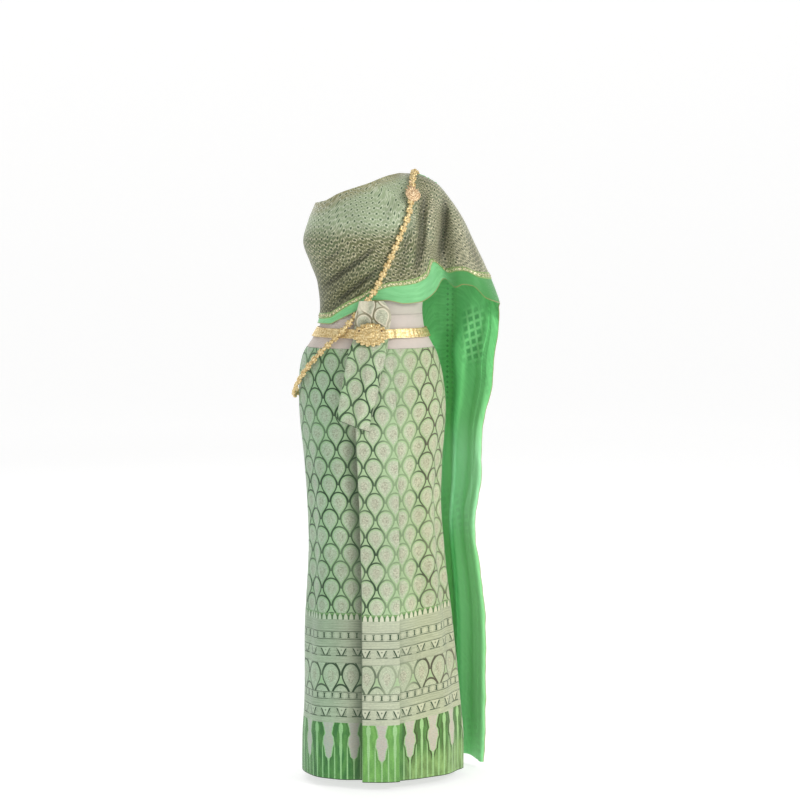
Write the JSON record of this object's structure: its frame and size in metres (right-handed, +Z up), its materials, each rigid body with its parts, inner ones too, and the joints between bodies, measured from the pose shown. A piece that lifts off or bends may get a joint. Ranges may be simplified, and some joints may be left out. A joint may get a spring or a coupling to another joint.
{
  "type": "chut thai dress",
  "caption": "Thai formal dress in hollow worn form: strapless top, wrapped brocade skirt with a box pleat, one-shoulder shawl falling to the floor, gold belt and body chain.",
  "frame": {"origin": "middle of the waist, where the wearer's waist holds the skirt and its belt", "axes": "+Z up, -Y the front of the dress, +X the wearer's left"},
  "size_m": [0.4657, 0.3158, 1.3573],
  "materials": {
    "bodice_satin": "pale satin",
    "white_cotton": "matt cotton",
    "skirt_brocade": "green and silver brocade",
    "shawl_brocade": "green brocade with gold flecks",
    "green_satin": "plain satin",
    "gold_weave": "gold thread weave",
    "gold_metal": "gold plated, polished"
  },
  "bodies": {
    "root": {"bodice_front": "bodice_satin", "bodice_back": "bodice_satin", "waistband_front": "white_cotton", "waistband_back": "white_cotton", "skirt_front": "skirt_brocade", "skirt_back": "skirt_brocade", "front_tail": "skirt_brocade", "shawl_back": "shawl_brocade", "shawl_front": "shawl_brocade", "shawl_fall": "shawl_brocade", "edge_back": "green_satin", "edge_front": "green_satin", "edge_fall": "green_satin", "band_back": "gold_weave", "band_front": "gold_weave", "band_fall": "gold_weave", "belt": "gold_metal", "buckle": "gold_metal", "chain": "gold_metal", "brooch": "gold_metal"}
  },
  "joints": []
}
